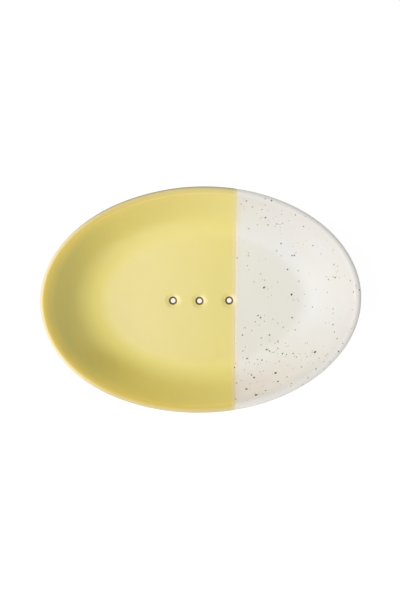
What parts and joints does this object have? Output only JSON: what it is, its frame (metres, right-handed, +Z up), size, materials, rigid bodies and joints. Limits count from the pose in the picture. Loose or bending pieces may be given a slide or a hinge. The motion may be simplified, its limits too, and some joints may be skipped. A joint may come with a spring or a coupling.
{
  "type": "soap dish",
  "caption": "Oval stoneware soap dish with a flared wall, a row of drain holes and a notched foot ring, dipped in a plain and a speckled glaze.",
  "frame": {"origin": "middle of the foot's underside, on the surface that the dish stands on", "axes": "+X along the dish towards the speckled end, +Y across it, +Z up"},
  "size_m": [0.15, 0.106, 0.028],
  "materials": {
    "bare_stoneware": "matt fired clay with fine iron specks",
    "yellow_glaze": "gloss",
    "speckled_glaze": "gloss with brown iron specks"
  },
  "bodies": {
    "root": {"stoneware_body": "bare_stoneware", "yellow_glaze": "yellow_glaze", "speckled_glaze": "speckled_glaze"}
  },
  "joints": []
}
